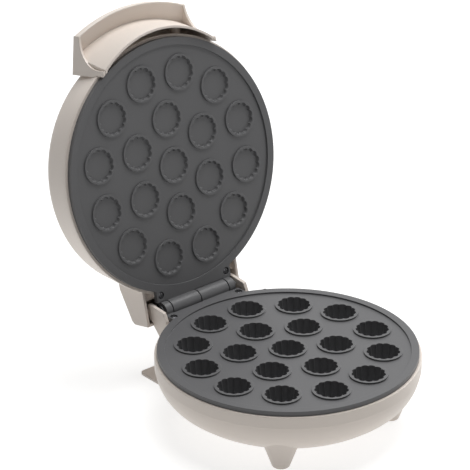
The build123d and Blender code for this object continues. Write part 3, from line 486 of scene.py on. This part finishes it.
# %% [markdown]
# ## Make an object of a shape
# A bmesh shows when it is written to a mesh that an object holds. Smooth shading alone would smear
# light over the steps, and a bevel on each edge would add many faces, so edges that turn more than
# an angle are marked sharp. The new piece takes the finish of the solid piece that it stands for,
# hides that one, and rides on its body, so that the lid's pieces swing with the lid.

# %% Make an object
smooth_up_to = radians(38)  # edges that turn more than this stay sharp


def finished(shape, name, body, replaced):
    """Makes an object of the shape, which rides on a body and stands for a solid piece."""
    mesh = bpy.data.meshes.new(name)
    shape.to_mesh(mesh)
    shape.free()
    mesh.shade_smooth()
    mesh.set_sharp_from_angle(angle=smooth_up_to)
    mesh.materials.append(finishes[slot_of[replaced]])
    piece = bpy.data.objects.new(name, mesh)
    bpy.context.scene.collection.objects.link(piece)
    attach(piece, body)
    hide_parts(replaced)
    print(name, len(mesh.polygons), "faces")


print("edges stay smooth up to", round(smooth_up_to, 2), "rad")

# %% [markdown]
# ## Screws with a cross recess
# The screws in the hinge tabs show from the front. A pan head is a low dome, and the driver's cross
# is pressed into it. The cross could be cut with a boolean, which leaves thin and ragged faces. The
# dome is spun with 24 steps instead, so that the faces near each axis make four even arms. They are
# extruded down into the head and drawn in, as the punch's taper does.

# %% A screw with a cross
def cross_screw(head, height, shank, length):
    """A pan-head screw, its seat at z = 0; head and shank are radii, all in millimetres."""
    tip = 0.8
    profile = [
        (0, height), (0.2 * head, height * 0.99), (0.42 * head, height * 0.94),
        (0.64 * head, height * 0.82), (0.84 * head, height * 0.6), (0.97 * head, height * 0.3),
        (head, height * 0.12), (head, 0), (shank, 0), (shank, tip - length),
        (0.6 * shank, -length), (0, -length),
    ]
    shape = turned(profile, 24)
    cross = []
    for face in shape.faces:
        middle = face.calc_center_median() / MM
        out = middle.xy.length
        off_axis = min(abs(middle.x), abs(middle.y))
        in_hub = out < 0.2 * head
        in_arm = out < 0.6 * head and off_axis < 0.15 * head
        if middle.z > 0.5 * height and (in_hub or in_arm):
            cross.append(face)
    walls = bmesh.ops.extrude_face_region(shape, geom=cross)["geom"]
    bmesh.ops.delete(shape, geom=cross, context="FACES")
    pressed = [v for v in walls if isinstance(v, bmesh.types.BMVert)]
    bmesh.ops.scale(shape, vec=(0.72, 0.72, 1), verts=pressed)
    bmesh.ops.translate(shape, vec=(0, 0, -0.55 * height * MM), verts=pressed)
    print("a cross of", len(cross), "faces is pressed in")
    return shape


# %% Screws of the hinge tabs
tab_screw = {"head": 3.2, "height": 1.7, "shank": 1.9, "length": 11.6}
tab_x, tab_y, tab_face = 38.8, 113.5, 2.1

lower_screws = cross_screw(**tab_screw)
put(lower_screws, [spot(base_place, side * tab_x, tab_y, -tab_face) for side in (-1, 1)])
finished(lower_screws, "screws_of_lower_tab", "base", "lower_tab_screws")

upper_screws = cross_screw(**tab_screw)
put(upper_screws, [spot(lid_place, side * tab_x, tab_y, tab_face, True) for side in (-1, 1)])
finished(upper_screws, "screws_of_upper_tab", "lid", "upper_tab_screws")

# %% Screws of the rear stand
stand_x, stand_y, stand_seat = 28.0, 62.0, 15.5
stand_screws = cross_screw(head=3.2, height=2.2, shank=1.9, length=10.0)
put(stand_screws, [spot(base_place, side * stand_x, stand_y, stand_seat - parting_height, True)
                   for side in (-1, 1)])
finished(stand_screws, "screws_of_stand", "base", "rear_stand_screws")

# %% [markdown]
# ## Rubber pads
# Each foot holds a pushed-in rubber pad. It rests on a flat ring with a rounded edge, and has a
# small dimple in the middle where the rubber was fed into its mould. A cylinder with a bevel would
# have no dimple, so the pad is spun from its profile.

# %% Pads
pad_profile = [(0, 0.5), (1.2, 0.5), (1.5, 0.18), (1.8, 0), (4.3, 0), (4.7, 0.1), (4.93, 0.35),
               (5, 0.7), (5, 1.8), (0, 1.8)]
foot_circle = 92.5  # the radius of the circle on which the feet stand
foot_xy = foot_circle * sin(radians(45))
pads = turned(pad_profile, 48)
put(pads, [spot(base_place, x, y, -parting_height)
           for x in (-foot_xy, foot_xy) for y in (-foot_xy, foot_xy)])
finished(pads, "pads_of_feet", "base", "foot_pads")

# %% [markdown]
# ## Indicator lenses
# A lens is a clear tinted button, domed on top, with a flange under the lid's wall. Rings moulded
# on its underside spread the small lamp's light, and show faintly through the dome. They could be
# drawn as a bump, but clear material shows what is really inside it, so they are part of the
# profile. The lid's top is gently crowned, and its height at the lenses tells where they sit.

# %% Lenses
lens_profile = [(0, 0.7), (0.7, 0.7), (1.0, 0.3), (1.3, 0.7), (1.7, 0.7), (2.0, 0.3), (2.3, 0.7),
                (2.7, 0.7), (3.0, 0.3), (3.3, 0), (5.2, 0), (5.2, 1.2), (4, 1.2), (4, 3.9),
                (3.85, 4.2), (3.3, 4.48), (2.3, 4.69), (1.2, 4.78), (0, 4.8)]
lens_top, stands_proud = 4.8, 0.6
lens_x, lens_y = 9, -78.0
crown_edge, crown_rise, crown_radius = 46.5, 3.0, 101.4
lid_top = crown_edge + crown_rise * (1 - (lens_y / crown_radius) ** 2)
for name, x, replaced in (("red_lens", -lens_x, "power_lens"),
                          ("green_lens", lens_x, "ready_lens")):
    lens = turned(lens_profile, 48)
    put(lens, [spot(lid_place, x, lens_y, lid_top + stands_proud - lens_top)])
    finished(lens, name, "lid", replaced)
print("at the lenses the lid's top is", round(lid_top, 2), "mm above the plates' parting")

# %% [markdown]
# ## Cord gland
# The gland is a soft tapered sleeve with ribs, so that the lead bends in a wide curve where it
# enters. It stands out of the base's back wall and has a flange inside. The ribs could be an array
# of rings, but here each is a little smaller than the last, so a loop writes them into the profile.
# The profile is closed, because the sleeve has a bore.

# %% Gland
bore, flange, neck, groove, collar = 2.9, 4.2, 3.9, 3.45, 5.1
ribs, first_rib, rib_pitch = 5, 2.2, 2.4
gland_profile = [(bore, -5.2), (flange, -5.2), (flange, -3.2), (neck, -3.2), (neck, 0),
                 (collar, 0), (collar, 1.6)]
for k in range(ribs):
    rib = 4.95 - 0.2 * k
    low = first_rib + rib_pitch * k
    gland_profile += [(groove, low), (groove, low + 0.9), (rib, low + 1.2), (rib, low + 2.1)]
gland_profile += [(3.6, 14), (bore, 14)]

wall_radius = 119.7
gland_height = -12.2
outward = radians(148)
gland_place = spot(base_place, wall_radius * sin(outward), -wall_radius * cos(outward),
                   gland_height)
gland_turn = Matrix.Rotation(outward, 4, "Z") @ Matrix.Rotation(radians(90), 4, "X")
gland = turned(gland_profile, 48, closed=True)
put(gland, [gland_place @ gland_turn])
finished(gland, "ribbed_gland", "base", "cord_gland")

# %% [markdown]
# ## Light table
# A studio shows a pale product so that it seems to stand in white. That could be a paper sweep with
# a lot of light on it, but the light would also bleach the product. Here the cooker stands on a
# table of opal acrylic that is lit softly from below. The table lifts the shade under the cooker
# and keeps its shadow faint. Rays from the camera, and those that mirrors and glass send on, see
# the table a little brighter than it lights, and it fades to white outwards. It is clear from
# below, so that the cooker's underside can be looked at too.

# %% What the eye sees
def seen_by_eye(tree):
    """1 for rays from the camera, a mirror or a glass, else 0."""
    rays = node(tree, "ShaderNodeLightPath")
    mirrored = node(tree, "ShaderNodeMath", {"operation": "MAXIMUM"},
                    {0: rays.outputs["Is Camera Ray"], 1: rays.outputs["Is Glossy Ray"]})
    passed = node(tree, "ShaderNodeMath", {"operation": "MAXIMUM"},
                  {0: mirrored.outputs[0], 1: rays.outputs["Is Transmission Ray"]})
    return passed.outputs[0]


print("white is seen by camera, glossy and transmission rays")

# %% Acrylic of the table
glow_on_cooker = 0.52
glow_near, glow_far = 0.74, 1.0  # as the eye sees it, at the two distances below
fade_from, fade_to = 0.5, 2.2  # metres from the cooker

table_acrylic, tree, place = new_material("opal_acrylic_light_table")
body_white = node(tree, "ShaderNodeBsdfDiffuse", {"Color": colour("B8B8B7")})
from_cooker = node(tree, "ShaderNodeVectorMath", {"operation": "LENGTH"}, {"Vector": place})
fade = node(tree, "ShaderNodeMapRange", {"From Min": fade_from, "From Max": fade_to,
                                         "To Min": glow_near, "To Max": glow_far},
            {"Value": from_cooker.outputs["Value"]})
strength = node(tree, "ShaderNodeMapRange", {"To Min": glow_on_cooker},
                {"Value": seen_by_eye(tree), "To Max": fade.outputs["Result"]})
glow = node(tree, "ShaderNodeEmission", {"Color": colour("FFFFFF")},
            {"Strength": strength.outputs["Result"]})
from_above = node(tree, "ShaderNodeAddShader",
                  links={0: body_white.outputs["BSDF"], 1: glow.outputs["Emission"]})
from_below = node(tree, "ShaderNodeBsdfTransparent")
side = node(tree, "ShaderNodeNewGeometry")
table_look = node(tree, "ShaderNodeMixShader", links={
    "Fac": side.outputs["Backfacing"], 1: from_above.outputs["Shader"],
    2: from_below.outputs["BSDF"],
})
node(tree, "ShaderNodeOutputMaterial", links={"Surface": table_look.outputs["Shader"]})
print("made", table_acrylic.name)

# %% Floor
floor_half = 6  # metres
floor_drop = 0.2 * MM  # keeps it clear of the pads' flat undersides

sheet = bmesh.new()
bmesh.ops.create_grid(sheet, x_segments=1, y_segments=1, size=floor_half)
floor_mesh = bpy.data.meshes.new("floor")
sheet.to_mesh(floor_mesh)
sheet.free()
floor_mesh.materials.append(table_acrylic)
floor = bpy.data.objects.new("floor", floor_mesh)
floor.location.z = -floor_drop
bpy.context.scene.collection.objects.link(floor)
print("the floor is", 2 * floor_half, "m wide")

# %% [markdown]
# ## Air and lamps
# The world stands for the white room around the table: the eye, mirrors and glass see it white, and
# it adds only a little light of its own. Small lamps or a sun would draw hard shadows, and a
# picture of a studio would be one more file. Two wide square lamps give the soft shade of studio
# boxes: one hangs over the cooker, a little to its right, and a weaker one stands at its right.

# %% World
room_light, room_seen = 0.1, 1.0

world = bpy.data.worlds.new("studio")
world.use_nodes = True
bpy.context.scene.world = world
tree = world.node_tree
tree.nodes.clear()
brightness = node(tree, "ShaderNodeMapRange", {"To Min": room_light, "To Max": room_seen},
                  {"Value": seen_by_eye(tree)})
room = node(tree, "ShaderNodeBackground", {"Color": colour("FFFFFF")},
            {"Strength": brightness.outputs["Result"]})
node(tree, "ShaderNodeOutputWorld", links={"Surface": room.outputs["Background"]})
print("the room gives", room_light, "of white as light")

# %% Lamps
def soft_lamp(name, place, watts, width):
    """A square lamp, its place and width in metres, that looks at the cooker's middle."""
    data = bpy.data.lights.new(name, "AREA")
    data.energy = watts
    data.size = width
    lamp = bpy.data.objects.new(name, data)
    lamp.location = place
    lamp.rotation_euler = (target - Vector(place)).to_track_quat("-Z", "Y").to_euler()
    bpy.context.scene.collection.objects.link(lamp)
    print(name, "lamp:", watts, "W")


soft_lamp("overhead", place=(0.5, 0.15, 2.1), watts=44, width=1.5)
soft_lamp("right_side", place=(2.0, 0.15, 0.8), watts=15, width=1.2)

# %% [markdown]
# ## Finish
# Film-like view transforms soften whites and shift colours. The standard one shows a hex colour as
# it was written, so it is used here.

# %% Finish
bpy.context.scene.view_settings.view_transform = "Standard"
